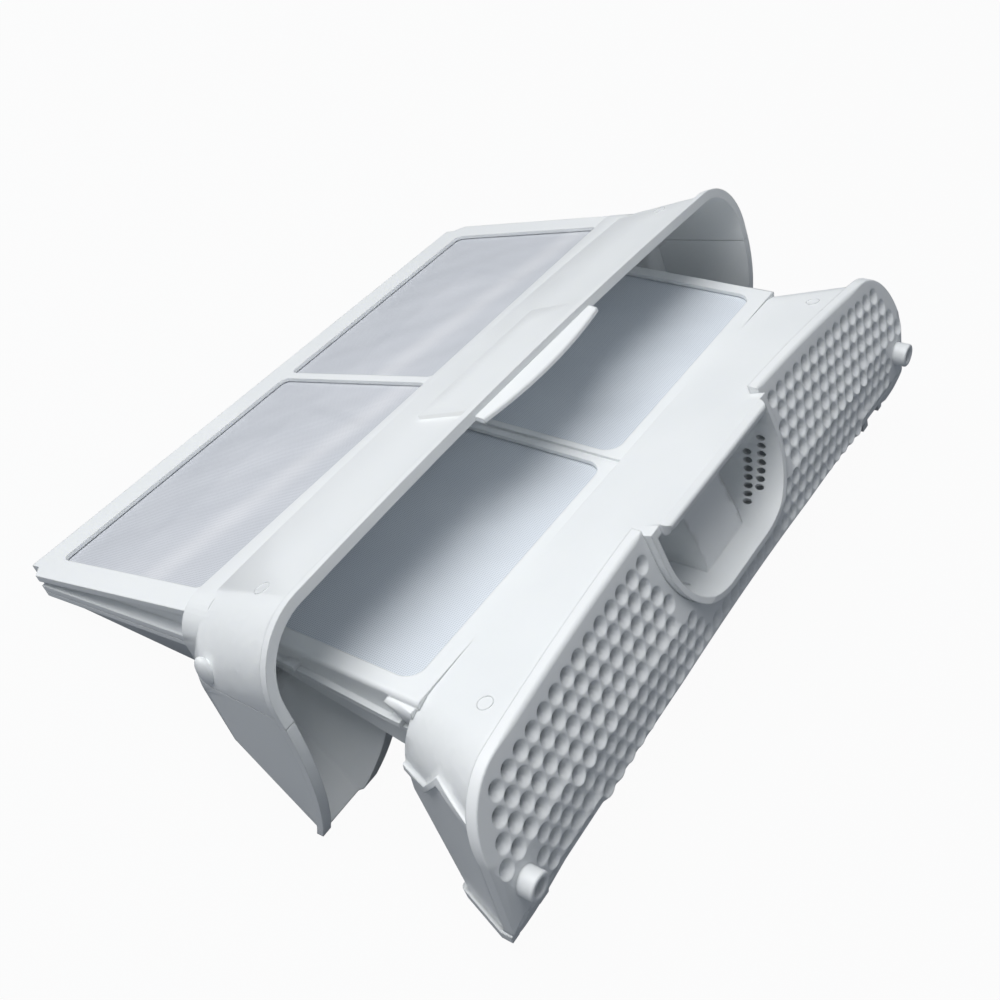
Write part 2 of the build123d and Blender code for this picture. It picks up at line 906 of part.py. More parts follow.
# Mesh sheets, one behind each window
outer_top_seat = Plane.XY.offset(-mesh_cover)
outer_floor_seat = outer_floor_plane.offset(mesh_cover)
inner_top_seat = Plane.XY.offset(-inner_drop - mesh_cover)
inner_floor_seat = inner_floor_plane.offset(mesh_cover)
with BuildPart() as outer_upper_mesh_left:
    mesh_panel(outer_top_seat, outer_window, -1, -1)
with BuildPart() as outer_upper_mesh_right:
    mesh_panel(outer_top_seat, outer_window, 1, -1)
with BuildPart() as outer_lower_mesh_left:
    mesh_panel(outer_floor_seat, outer_lower_window, -1, 1)
with BuildPart() as outer_lower_mesh_right:
    mesh_panel(outer_floor_seat, outer_lower_window, 1, 1)
with BuildPart() as inner_upper_mesh_left:
    mesh_panel(inner_top_seat, inner_window, -1, -1)
with BuildPart() as inner_upper_mesh_right:
    mesh_panel(inner_top_seat, inner_window, 1, -1)
with BuildPart() as inner_lower_mesh_left:
    mesh_panel(inner_floor_seat, inner_window, -1, 1)
with BuildPart() as inner_lower_mesh_right:
    mesh_panel(inner_floor_seat, inner_window, 1, 1)

# The inner filter swings out about a distant axis below the pouch, so that its nose drops
# as it is drawn out. The axis follows from the way that one point of the inner frame goes.
half_turn = math.tan(math.radians(nose_drop) / 2)
pole_y = pouch_length - draw_out / 2 + nose_fall / 2 / half_turn
pole_z = -inner_drop - nose_fall / 2 - draw_out / 2 / half_turn
to_pole = Location((0, pole_y, pole_z))
drawn = to_pole * Location((0, 0, 0), (nose_drop, 0, 0)) * to_pole.inverse()

# At rest the outer filter leans on its rear edge and on the heels of its collar's two tips
tip_share = (collar_tip_depth - collar_back_foot) / (collar_lip_foot - collar_back_foot)
tip_heel = throat_length + tip_share * (collar_length - throat_length)
lean = math.degrees(math.atan2(collar_tip_depth - outer_rear_depth, pouch_length + tip_heel))
outer_pieces = {
    "outer_upper_frame": outer_upper_frame,
    "outer_lower_frame": outer_lower_frame,
    "outer_upper_mesh_left": outer_upper_mesh_left,
    "outer_upper_mesh_right": outer_upper_mesh_right,
    "outer_lower_mesh_left": outer_lower_mesh_left,
    "outer_lower_mesh_right": outer_lower_mesh_right,
}
inner_pieces = {
    "inner_upper_frame": inner_upper_frame,
    "inner_lower_frame": inner_lower_frame,
    "head_grille": head_grille,
    "grip_cup": grip_cup,
    "inner_upper_mesh_left": inner_upper_mesh_left,
    "inner_upper_mesh_right": inner_upper_mesh_right,
    "inner_lower_mesh_left": inner_lower_mesh_left,
    "inner_lower_mesh_right": inner_lower_mesh_right,
}
leaning = Location((0, 0, 0), (-lean, 0, 0))
for piece in outer_pieces.values():
    piece.part.move(leaning)
for piece in inner_pieces.values():
    piece.part.move(leaning * drawn)

# Origin: on the surface it rests on, under the middle of the whole object
pieces = {**outer_pieces, **inner_pieces}
low = [piece.part.bounding_box().min for piece in pieces.values()]
high = [piece.part.bounding_box().max for piece in pieces.values()]
middle_y = (min(corner.Y for corner in low) + max(corner.Y for corner in high)) / 2
to_floor = Location((0, -middle_y, -min(corner.Z for corner in low)))
outer_rest = to_floor * leaning
inner_rest = to_floor * leaning * drawn

os.makedirs("parts", exist_ok=True)
for name, piece in pieces.items():
    piece.part.move(to_floor)
    piece.part.label = name
    export_step(piece.part, f"parts/{name}.step")
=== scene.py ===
# %% [markdown]
# # A two-part lint filter of a tumble dryer
# The object is two nested filters moulded in white plastic. The outer one is a flat pouch with a
# flared collar, and the inner one carries a perforated head with a finger grip. The CAD model gives
# every size and place, so this lesson only adds what CAD leaves plain: smooth moulded skins, round
# holes with soft edges, woven mesh, and light.

# %% Load the CAD frame
import math

import bmesh
import bpy
from mathutils import Matrix, Vector
from mathutils.geometry import delaunay_2d_cdt


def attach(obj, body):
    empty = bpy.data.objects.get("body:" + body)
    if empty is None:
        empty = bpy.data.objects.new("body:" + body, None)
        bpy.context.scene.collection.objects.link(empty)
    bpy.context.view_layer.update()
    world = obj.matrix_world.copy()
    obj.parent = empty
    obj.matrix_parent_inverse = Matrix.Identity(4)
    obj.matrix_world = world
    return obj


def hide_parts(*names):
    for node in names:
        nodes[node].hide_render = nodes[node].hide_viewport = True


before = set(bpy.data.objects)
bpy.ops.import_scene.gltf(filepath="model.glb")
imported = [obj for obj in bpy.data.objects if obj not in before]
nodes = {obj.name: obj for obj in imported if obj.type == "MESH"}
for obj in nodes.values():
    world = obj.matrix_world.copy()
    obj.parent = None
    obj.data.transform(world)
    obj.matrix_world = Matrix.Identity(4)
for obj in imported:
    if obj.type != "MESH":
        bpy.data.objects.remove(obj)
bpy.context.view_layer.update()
scene = bpy.context.scene
MM = 0.001

# %% [markdown]
# ## Two drawing frames
# Each filter is easiest to describe lying flat, as its moulding tool sees it: X across, -Y towards
# the grille, Z up. At rest the outer filter leans forward on its collar, and the inner filter is
# drawn part of the way out with its nose dropped. Two matrices carry flat drawings to those places.

# %% Matrices from the flat drawing to the place at rest
OUTER_LEAN = math.radians(-26.108)
HEAD_DROP = math.radians(12.84)
outer_place = Matrix.Translation((0, 0.0238920, 0.0503814)) @ Matrix.Rotation(OUTER_LEAN, 4, "X")
pull_axis = Vector((0, 0.0645662, -0.2560302))
pulled = (
    Matrix.Translation(pull_axis)
    @ Matrix.Rotation(HEAD_DROP, 4, "X")
    @ Matrix.Translation(-pull_axis)
)
inner_place = outer_place @ pulled
print("inner filter leans", round(math.degrees(inner_place.to_euler().x), 2), "degrees")

# %% [markdown]
# ## Colours and node helper
# Colours are written as the sRGB hex values that a colour picker shows. Blender's sockets want
# linear light, so one function converts them. Another adds a node, sets it up and links it.


# %% Helpers for materials
def linear(hex_colour):
    """sRGB hex such as "f2f4f4" as a linear RGBA tuple."""
    channels = [int(hex_colour[i : i + 2], 16) / 255 for i in (0, 2, 4)]
    light = [c / 12.92 if c < 0.04045 else ((c + 0.055) / 1.055) ** 2.4 for c in channels]
    return (*light, 1.0)


def add_node(tree, kind, inputs=None, **settings):
    """Adds a node, sets its properties, and fills or links the named or numbered inputs."""
    made = tree.nodes.new(kind)
    for name, value in settings.items():
        setattr(made, name, value)
    for name, value in (inputs or {}).items():
        if isinstance(value, bpy.types.NodeSocket):
            tree.links.new(value, made.inputs[name])
        else:
            made.inputs[name].default_value = value
    return made


def new_material(name):
    """An empty node material with its output node."""
    material = bpy.data.materials.new(name)
    material.use_nodes = True
    material.node_tree.nodes.clear()
    output = add_node(material.node_tree, "ShaderNodeOutputMaterial")
    return material, material.node_tree, output


# %% [markdown]
# ## White polypropylene
# The frames are injection-moulded polypropylene: white, slightly cool, with a satin skin from the
# tool's fine spark-eroded grain. The eye reads it by soft highlights along rounded edges. A bevel
# node rounds each edge by 0.6 mm, fine noise gives the grain, and a wide faint noise varies the
# tone as uneven wall thickness does.

# %% Moulded plastic material
TONE_PATCH, GRIT, GRIT_HEIGHT, EDGE_ROUND = 38 * MM, 0.6 * MM, 0.05 * MM, 0.6 * MM
plastic, tree, output = new_material("moulded_white_polypropylene")
coords = add_node(tree, "ShaderNodeTexCoord")
tone = add_node(
    tree,
    "ShaderNodeTexNoise",
    {"Vector": coords.outputs["Object"], "Scale": 1 / TONE_PATCH, "Detail": 2.0},
)
tint = add_node(
    tree,
    "ShaderNodeMix",
    {"Factor": tone.outputs["Fac"], "A": linear("eceff0"), "B": linear("f5f7f7")},
    data_type="RGBA",
)
# Grit of the tool is about 0.2 mm, drawn at 0.6 mm so that it shows
grain = add_node(
    tree,
    "ShaderNodeTexNoise",
    {"Vector": coords.outputs["Object"], "Scale": 1 / GRIT, "Detail": 2.0},
)
gloss = add_node(
    tree,
    "ShaderNodeMapRange",
    {"Value": grain.outputs["Fac"], "To Min": 0.34, "To Max": 0.46},
)
edge = add_node(tree, "ShaderNodeBevel", {"Radius": EDGE_ROUND}, samples=4)
skin_bump = add_node(
    tree,
    "ShaderNodeBump",
    {
        "Height": grain.outputs["Fac"],
        "Strength": 0.05,
        "Distance": GRIT_HEIGHT,
        "Normal": edge.outputs["Normal"],
    },
)
plastic_skin = add_node(
    tree,
    "ShaderNodeBsdfPrincipled",
    {
        "Base Color": tint.outputs["Result"],
        "Roughness": gloss.outputs["Result"],
        "Normal": skin_bump.outputs["Normal"],
        "IOR": 1.49,
        "Subsurface Weight": 0.08,
        "Subsurface Radius": (1.2 * MM, 1.2 * MM, 1.0 * MM),
        "Subsurface Scale": 1.0,
    },
)
tree.links.new(plastic_skin.outputs["BSDF"], output.inputs["Surface"])
print("made", plastic.name)

# %% [markdown]
# ## Woven polyester mesh
# The windows are closed with a very fine woven mesh, welded in by its edges. The outer mesh is
# pale, and the inner one looks blue grey, because less light comes through both layers. Two wave
# textures cross each other as warp and weft. A real thread pitch is about 0.15 mm, and it is drawn
# at 0.7 mm so that the weave shows. The gaps between threads let some light through.

# %% Mesh materials
THREAD_PITCH, THREAD_HEIGHT, CLOUD = 0.7 * MM, 0.08 * MM, 30 * MM
WAVE_SCALE = 0.314159  # a tenth of pi: the wave texture's scale for one band per unit of length
# Where a painted highlight streak runs across the sheet: its height at both ends, its length and
# its half width
HIGHLIGHT_START, HIGHLIGHT_END, HIGHLIGHT_RUN, HIGHLIGHT_WIDTH = 30 * MM, 12 * MM, 115 * MM, 10 * MM


def woven_mesh(name, thread_hex, shade_hex, cover, highlight_strength):
    """Woven mesh: cover is how much light the threads stop, and the last argument is the strength
    of a painted pale highlight streak.
    """
    material, tree, output = new_material(name)
    uv = add_node(tree, "ShaderNodeUVMap", uv_map="weave")
    warp, weft = [
        add_node(
            tree,
            "ShaderNodeTexWave",
            {"Vector": uv.outputs["UV"], "Scale": WAVE_SCALE / THREAD_PITCH, "Distortion": 0.0},
            bands_direction=direction,
        )
        for direction in "XY"
    ]
    thread = add_node(
        tree,
        "ShaderNodeMath",
        {0: warp.outputs["Fac"], 1: weft.outputs["Fac"]},
        operation="MAXIMUM",
    )
    cloud = add_node(
        tree,
        "ShaderNodeTexNoise",
        {"Vector": uv.outputs["UV"], "Scale": 1 / CLOUD, "Detail": 3.0},
    )
    shade = add_node(
        tree,
        "ShaderNodeMath",
        {0: thread.outputs["Value"], 1: cloud.outputs["Fac"]},
        operation="MULTIPLY",
    )
    tint = add_node(
        tree,
        "ShaderNodeMix",
        {"Factor": shade.outputs["Value"], "A": linear(shade_hex), "B": linear(thread_hex)},
        data_type="RGBA",
    )
    # Painted highlight: a pale streak mixed into the colour along a slanting line, fading out 10 mm
    # to each side
    spot = add_node(tree, "ShaderNodeSeparateXYZ", {0: uv.outputs["UV"]})
    drift = add_node(
        tree,
        "ShaderNodeMapRange",
        {
            "Value": spot.outputs["X"],
            "To Min": HIGHLIGHT_START,
            "To Max": HIGHLIGHT_END,
            "From Max": HIGHLIGHT_RUN,
        },
    )
    gap = add_node(
        tree,
        "ShaderNodeMath",
        {0: spot.outputs["Y"], 1: drift.outputs["Result"]},
        operation="SUBTRACT",
    )
    away = add_node(tree, "ShaderNodeMath", {0: gap.outputs["Value"]}, operation="ABSOLUTE")
    painted_highlight = add_node(
        tree,
        "ShaderNodeMapRange",
        {"Value": away.outputs["Value"], "From Max": HIGHLIGHT_WIDTH, "To Min": highlight_strength, "To Max": 0.0},
        interpolation_type="SMOOTHSTEP",
    )
    # Inside the streak the colour is mixed towards near white, as painted highlight
    lit = add_node(
        tree,
        "ShaderNodeMix",
        {"Factor": painted_highlight.outputs["Result"], "A": tint.outputs["Result"], "B": linear("f4f5f8")},
        data_type="RGBA",
    )
    opacity = add_node(
        tree,
        "ShaderNodeMapRange",
        {
            "Value": thread.outputs["Value"],
            "From Min": 0.4,
            "To Min": cover - 0.12,
            "To Max": cover + 0.1,
        },
    )
    relief = add_node(
        tree,
        "ShaderNodeBump",
        {"Height": thread.outputs["Value"], "Strength": 0.25, "Distance": THREAD_HEIGHT},
    )
    cloth = add_node(
        tree,
        "ShaderNodeBsdfPrincipled",
        {
            "Base Color": lit.outputs["Result"],
            "Roughness": 0.5,
            "IOR": 1.57,
            "Alpha": opacity.outputs["Result"],
            "Normal": relief.outputs["Normal"],
            "Sheen Weight": 0.25,
            "Sheen Roughness": 0.4,
        },
    )
    tree.links.new(cloth.outputs["BSDF"], output.inputs["Surface"])
    print("made", name)
    return material


outer_weave = woven_mesh("woven_polyester_mesh_pale", "e9ebf0", "cfd3da", 0.84, 0.5)
inner_weave = woven_mesh("woven_polyester_mesh_blue_grey", "eef3f8", "dbe2ea", 0.92, 0.0)

# %% [markdown]
# ## Moulded skins
# The CAD model arrives as loose triangles, and its curves would show as flat facets. Each frame
# gets a copy with its points merged, and with smooth normals wherever the surface turns gently, so
# that only true edges stay sharp. The copy then stands for the CAD node. Where the real surface
# goes on without a seam, two nodes are joined into one skin. Changes are made in the flat drawing.

# %% Helpers for skins
MERGE = 0.002 * MM  # points nearer than this are one point
NEAR = 0.01  # how near a point lies to the line it is looked for on, in mm


def flat_copy(node, place):
    """Mesh of a CAD node with merged points, laid back into the flat drawing."""
    mesh = nodes[node].data.copy()
    mesh.transform(place.inverted())
    work = bmesh.new()
    work.from_mesh(mesh)
    bmesh.ops.remove_doubles(work, verts=work.verts, dist=MERGE)
    work.to_mesh(mesh)
    work.free()
    return mesh


def carved(base, tool, operation):
    """A mesh joined with another one, or cut by it."""
    pair = [bpy.data.objects.new("carving", mesh) for mesh in (base, tool)]
    for made in pair:
        scene.collection.objects.link(made)
    step = pair[0].modifiers.new("carve", "BOOLEAN")
    step.object = pair[1]
    step.operation = operation
    step.solver = "EXACT"
    bpy.context.view_layer.update()
    seen = pair[0].evaluated_get(bpy.context.evaluated_depsgraph_get())
    mesh = bpy.data.meshes.new_from_object(seen)
    for made in pair:
        bpy.data.objects.remove(made)
    return mesh


def finish_piece(name, mesh, place, body, sharp, replaced=()):
    """Puts a mesh from the flat drawing in its place as a piece of plastic, sharp from an angle."""
    mesh.transform(place)
    mesh.shade_smooth()
    mesh.set_sharp_from_angle(angle=math.radians(sharp))
    mesh.materials.clear()
    mesh.materials.append(plastic)
    piece = bpy.data.objects.new(name, mesh)
    scene.collection.objects.link(piece)
    even = piece.modifiers.new("even_normals", "WEIGHTED_NORMAL")
    even.keep_sharp = True
    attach(piece, body)
    if replaced:
        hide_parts(*replaced)
    print(name, len(mesh.polygons), "faces")


# %% Lower frames, which need no cuts
FRAME_SHARP, TONGUE_SHARP, ROUND_SHARP, GRILLE_SHARP = 16, 30, 60, 50  # in degrees
lower_halves = [("outer_lower", outer_place, "outer_lower"), ("inner_lower", inner_place, "inner")]
for half, place, body in lower_halves:
    node = half + "_frame"
    finish_piece(half + "_skin", flat_copy(node, place), place, body, FRAME_SHARP, [node])

# %% [markdown]
# The raised pad on the collar is first drawn in to the width that the photograph shows: its points
# move along the collar's roof, which rises forward and is slightly arched.

# %% Upper outer frame with a narrower pad
PAD_HALF, PAD_BACK, PAD_FRONT, PAD_FOOT = 43.0, 14.0, 45.0, 5.3
PAD_HALF_SEEN, PAD_BACK_SEEN = 33.5, 23.0
ROOF_SLOPE, ROOF_RADIUS = 5.5 / 40, 2590.0
upper_mesh = flat_copy("outer_upper_frame", outer_place)
for vertex in upper_mesh.vertices:
    x, y, z = vertex.co / MM
    on_top = z > PAD_FOOT + ROOF_SLOPE * (-y - PAD_BACK)
    if on_top and abs(x) < PAD_HALF + NEAR and PAD_BACK - NEAR < -y < PAD_FRONT + NEAR:
        narrow = x * PAD_HALF_SEEN / PAD_HALF
        ahead = PAD_BACK_SEEN if -y < PAD_BACK + NEAR else -y
        rise = ROOF_SLOPE * (ahead + y) + (x**2 - narrow**2) / (2 * ROOF_RADIUS)
        vertex.co = Vector((narrow, -ahead, z + rise)) * MM
print("pad drawn in to", 2 * PAD_HALF_SEEN, "mm")

# %% [markdown]
# The tongue at the collar's lip is a thin bowed flap. The solid's plain tongue is cut off at the
# lip, and a bowed one is drawn in its place. It is longest in the middle and falls forward with the
# slope of the plain one.

# %% Plain tongue cut off, and a bowed tongue
LIP, CUT_AHEAD, CUT_NEAR = 48.0, 0.02, 0.0005
TONGUE_HALF, TONGUE_END, TONGUE_BOW, TONGUE_THICK = 33.8, 51.2, 2.6, 1.8
TONGUE_ROOT, TONGUE_STRIPS = 46.5, 48
TONGUE_TOP, TONGUE_TOP_AT, TONGUE_SLOPE = 10.5, 45.0, 3.4 / 12.0
TIP_RUN, TIP_DROP = 0.4, 0.35  # rounding of the front edge
cut = bmesh.new()
cut.from_mesh(upper_mesh)
bmesh.ops.bisect_plane(
    cut,
    geom=cut.verts[:] + cut.edges[:] + cut.faces[:],
    dist=CUT_NEAR * MM,
    plane_co=(0, -(LIP + CUT_AHEAD) * MM, 0),
    plane_no=(0, -1, 0),
    clear_outer=True,
)
bmesh.ops.holes_fill(cut, edges=[edge for edge in cut.edges if edge.is_boundary], sides=0)
cut.to_mesh(upper_mesh)
cut.free()


def tongue_top(ahead):
    """Height of the tongue's upper side."""
    return TONGUE_TOP - TONGUE_SLOPE * (ahead - TONGUE_TOP_AT)


tongue = bmesh.new()
strips = []
for k in range(TONGUE_STRIPS + 1):
    x = TONGUE_HALF * (k / (TONGUE_STRIPS / 2) - 1)
    front = TONGUE_END + TONGUE_BOW * (1 - (x / TONGUE_HALF) ** 2)
    spots = []
    for ahead in (TONGUE_ROOT, LIP, (LIP + front) / 2, front - TIP_RUN, front):
        spots.append((x, -ahead, tongue_top(ahead) - (TIP_DROP if ahead == front else 0.0)))
    for ahead, rise in ((front, TIP_DROP), (front - TIP_RUN, 0.0), (TONGUE_ROOT, 0.0)):
        spots.append((x, -ahead, tongue_top(ahead) - TONGUE_THICK + rise))
    strips.append([tongue.verts.new(Vector(spot) * MM) for spot in spots])
for one, other in zip(strips, strips[1:]):
    for k in range(len(one)):
        n = (k + 1) % len(one)
        tongue.faces.new((one[k], one[n], other[n], other[k]))
tongue.faces.new(strips[0])
tongue.faces.new(strips[-1])
bmesh.ops.recalc_face_normals(tongue, faces=tongue.faces)
tongue_mesh = bpy.data.meshes.new("bowed_tongue")
tongue.to_mesh(tongue_mesh)
tongue.free()
finish_piece(
    "outer_upper_skin", upper_mesh, outer_place, "outer_upper", FRAME_SHARP, ["outer_upper_frame"]
)
finish_piece("bowed_tongue", tongue_mesh, outer_place, "outer_upper", TONGUE_SHARP)

# %% [markdown]
# The roof of the head runs on into the lip of the grip, so both nodes are joined into one skin. The
# grip's joint faces are first moved a twentieth of a millimetre into the roof, so that the two
# really meet. Two rows of small oval vents are cut through each round side wall of the recess: each
# row is given by its first and last vent, as the distance ahead and the angle round the bend.

# %% Upper inner frame and grip in one skin, with the vents
GRIP_SIDE, GRIP_BACK, SINK = 38.2, 32.0, 0.05
roof_mesh = flat_copy("inner_upper_frame", inner_place)
grip_mesh = flat_copy("grip_cup", inner_place)
for vertex in grip_mesh.vertices:
    x, y, _ = vertex.co / MM
    if abs(abs(x) - GRIP_SIDE) < NEAR:
        vertex.co.x += math.copysign(SINK * MM, x)
    if abs(y + GRIP_BACK) < NEAR:
        vertex.co.y += SINK * MM
VENT_HALF_LENGTH, VENT_HALF_WIDTH, VENT_SIDES, VENT_DEPTH = 1.6, 1.0, 20, 7.0
BEND_X, BEND_Z, BEND_RADIUS = 12.0, -6.0, 24.0
VENT_ROWS = [((47.0, 13.0), (50.4, 52.0)), ((42.9, 27.0), (48.3, 66.0))]
VENTS_PER_ROW = 7
vent_tool = bmesh.new()
for side in (-1, 1):
    for first, last in VENT_ROWS:
        for k in range(VENTS_PER_ROW):
            ahead, degrees = Vector(first).lerp(Vector(last), k / (VENTS_PER_ROW - 1))
            turn = math.radians(degrees)
            out = Vector((side * math.cos(turn), 0, -math.sin(turn)))
            middle = Vector((side * BEND_X, -ahead, BEND_Z)) + out * BEND_RADIUS
            upright = Matrix((out.cross((0, 1, 0)), (0, 1, 0), out)).transposed().to_4x4()
            bmesh.ops.create_cone(
                vent_tool,
                cap_ends=True,
                segments=VENT_SIDES,
                radius1=MM,
                radius2=MM,
                depth=MM,
                matrix=Matrix.Translation(middle * MM)
                @ upright
                @ Matrix.Diagonal((VENT_HALF_WIDTH, VENT_HALF_LENGTH, VENT_DEPTH, 1)),
            )
bmesh.ops.recalc_face_normals(vent_tool, faces=vent_tool.faces)
vent_mesh = bpy.data.meshes.new("vents")
vent_tool.to_mesh(vent_mesh)
vent_tool.free()
grip_mesh = carved(grip_mesh, vent_mesh, "DIFFERENCE")
inner_mesh = carved(roof_mesh, grip_mesh, "UNION")
finish_piece(
    "inner_upper_skin",
    inner_mesh,
    inner_place,
    "inner",
    FRAME_SHARP,
    ["inner_upper_frame", "grip_cup"],
)

# %% [markdown]
# Moulding leaves a small mark on each side: a ring from an ejector pin, on the collar and on the
# head. The collar also carries a rounded knob behind each end, just above the parting line.

# %% Ejector rings and end knobs
RING_RADIUS, RING_THICK, RING_SIDES, RING_AROUND = 2.4, 0.16, 32, 8
COLLAR_RING, COLLAR_RING_UP = (115.1, -28.4, 5.3), (0.04, 0.14, 0.99)
HEAD_RING, HEAD_RING_UP = (106.9, -34.5, -2.9), (0.11, 0.22, 0.97)
KNOB_PLACE, KNOB_HALF_SIZES = (135.6, -14.5, -10.6), (2.2, 3.0, 5.0)


def on_side(side, point):
    """A point or direction of the right side, mirrored for the left."""
    return Vector((side * point[0], point[1], point[2]))


def ring_mark(name, place, spot, normal, body):
    """A faint raised ring on a surface."""
    work = bmesh.new()
    rings = []
    for k in range(RING_SIDES):
        turn = 2 * math.pi * k / RING_SIDES
        ring = []
        for n in range(RING_AROUND):
            swing = 2 * math.pi * n / RING_AROUND
            reach = RING_RADIUS + RING_THICK * math.cos(swing)
            point = (reach * math.cos(turn), reach * math.sin(turn), RING_THICK * math.sin(swing))
            ring.append(work.verts.new(Vector(point) * MM))
        rings.append(ring)
    for k in range(RING_SIDES):
        for n in range(RING_AROUND):
            m = (n + 1) % RING_AROUND
            after = rings[(k + 1) % RING_SIDES]
            work.faces.new((rings[k][n], after[n], after[m], rings[k][m]))
    turned = normal.to_track_quat("Z", "Y").to_matrix().to_4x4()
    bmesh.ops.transform(work, matrix=Matrix.Translation(spot * MM) @ turned, verts=work.verts)
    mesh = bpy.data.meshes.new(name)
    work.to_mesh(mesh)
    work.free()
    finish_piece(name, mesh, place, body, ROUND_SHARP)


for hand, side in (("left", -1), ("right", 1)):
    ring_mark(
        f"collar_ejector_ring_{hand}",
        outer_place,
        on_side(side, COLLAR_RING),
        on_side(side, COLLAR_RING_UP),
        "outer_upper",
    )
    ring_mark(
        f"head_ejector_ring_{hand}",
        inner_place,
        on_side(side, HEAD_RING),
        on_side(side, HEAD_RING_UP),
        "inner",
    )
    knob = bmesh.new()
    bmesh.ops.create_uvsphere(knob, u_segments=24, v_segments=16, radius=MM)
    shape = Matrix.Diagonal((*KNOB_HALF_SIZES, 1))
    moved = Matrix.Translation(on_side(side, KNOB_PLACE) * MM) @ shape
    bmesh.ops.transform(knob, matrix=moved, verts=knob.verts)
    knob_mesh = bpy.data.meshes.new(f"end_knob_{hand}")
    knob.to_mesh(knob_mesh)
    knob.free()
    finish_piece(f"end_knob_{hand}", knob_mesh, outer_place, "outer_upper", ROUND_SHARP)

# %% [markdown]
# ## Mesh sheets
# A sheet of mesh is cut to the seat behind each window and held flat at its edge, so it is drawn
# stretched: a fine grid whose corners follow the round corners of the seat. Heat from welding
# leaves it slightly uneven, so the middle wanders by a fraction of a millimetre.

# %% One stretched sheet
SHEET_COLUMNS, SHEET_ROWS = 64, 48
CALM_CELLS, WANDER = 6, 0.22


def wander(x, y):
    """Height of the long and short waves in the slightly uneven sheet, at most 1.5 either way."""
    return math.sin(0.11 * x + 0.9) * math.sin(0.13 * y) + 0.5 * math.sin(0.31 * x + 0.23 * y)


def mesh_sheet(node, body, place, window, floor, slope, weave):
    """One sheet: window is its x and y limits and corner, on a plane that rises from floor."""
    left, right, near, far, corner = window
    columns, rows = SHEET_COLUMNS, SHEET_ROWS
    middle_x, middle_y = (left + right) / 2, (near + far) / 2
    work = bmesh.new()
    weave_map = work.loops.layers.uv.new("weave")
    grid = []
    for j in range(rows + 1):
        line = []
        for i in range(columns + 1):
            x = left + (right - left) * i / columns
            y = near + (far - near) * j / rows
            across = max(abs(x - middle_x) - ((right - left) / 2 - corner), 0) / corner
            along = max(abs(y - middle_y) - ((far - near) / 2 - corner), 0) / corner
            if across > 0 and along > 0:
                pull_x = corner * across * (1 - math.sqrt(1 - along**2 / 2))
                pull_y = corner * along * (1 - math.sqrt(1 - across**2 / 2))
                x -= math.copysign(pull_x, x - middle_x)
                y -= math.copysign(pull_y, y - middle_y)
            edge = min(i, columns - i, j, rows - j) / CALM_CELLS
            calm = min(edge, 1) ** 2
            rise = WANDER * calm * wander(x, y)
            flat = Vector((x, y * math.cos(slope), floor + y * math.sin(slope)))
            lift = Vector((0, -math.sin(slope), math.cos(slope))) * rise
            line.append(work.verts.new(place @ ((flat + lift) * MM)))
        grid.append(line)
    for j in range(rows):
        for i in range(columns):
            face = work.faces.new((grid[j][i], grid[j][i + 1], grid[j + 1][i + 1], grid[j + 1][i]))
            corners = ((i, j), (i + 1, j), (i + 1, j + 1), (i, j + 1))
            for loop, (a, b) in zip(face.loops, corners):
                u, v = (right - left) * a / columns, (far - near) * b / rows
                loop[weave_map].uv = (u * MM, v * MM)
    mesh = bpy.data.meshes.new(node + "_weave")
    work.to_mesh(mesh)
    work.free()
    mesh.shade_smooth()
    mesh.materials.append(weave)
    sheet = bpy.data.objects.new(node + "_weave", mesh)
    scene.collection.objects.link(sheet)
    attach(sheet, body)
    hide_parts(node)


# %% [markdown]
# Each window is given by its inner and outer edge, its near and far end and its corner radius. The
# sheets of the lower halves lie on their sloping floors, and those of the upper halves lie level.

# %% Sheets in all eight windows
SHEET_DEPTH = 1.8  # middle of the sheet below the frame's face
GROW = 1.2  # how far the sheet reaches under the frame round its window
OUTER_FRONT_DEPTH, OUTER_REAR_DEPTH, POUCH_LENGTH = 32, 12, 90
INNER_DROP, INNER_FRONT_DEPTH, INNER_SLOPE = 6, 27.0004, 0.2122
INNER_WINDOW = (3.3, 107.6, -10.0, 70.0, 6.0)
outer_slope = math.atan2(OUTER_FRONT_DEPTH - OUTER_REAR_DEPTH, POUCH_LENGTH)
inner_slope = math.atan(INNER_SLOPE)
outer_floor = -OUTER_FRONT_DEPTH + SHEET_DEPTH / math.cos(outer_slope)
inner_floor = -INNER_FRONT_DEPTH + SHEET_DEPTH / math.cos(inner_slope)
windows = {
    "outer_upper": (2.0, 115.4, 3.0, 79.0, 3.0, -SHEET_DEPTH, 0.0),
    "outer_lower": (2.0, 111.4, 6.0, 79.0, 3.0, outer_floor, outer_slope),
    "inner_upper": (*INNER_WINDOW, -INNER_DROP - SHEET_DEPTH, 0.0),
    "inner_lower": (*INNER_WINDOW, inner_floor, inner_slope),
}
for half, (inside, outside, near, far, corner, floor, slope) in windows.items():
    filter_name = half.split("_")[0]
    body = "inner" if filter_name == "inner" else half
    place = inner_place if filter_name == "inner" else outer_place
    weave = inner_weave if filter_name == "inner" else outer_weave
    sides = {
        "left": (-outside - GROW, -inside + GROW),
        "right": (inside - GROW, outside + GROW),
    }
    for hand, limits in sides.items():
        mesh_sheet(
            f"{half}_mesh_{hand}",
            body,
            place,
            (*limits, near - GROW, far + GROW, corner + GROW),
            floor,
            slope,
            weave,
        )
print("sheets:", 2 * len(windows))

# %% [markdown]
# ## The dimpled grille
# The grille is covered with round dimples in staggered rows, each one a funnel that ends in a small
# hole, and they stand so close that only a thin web is left between them. The solids carry plain
# six-sided holes to stay light, so the plate is drawn again here on the same outline. First come
# the hole centres, by the same rule as in the solids.

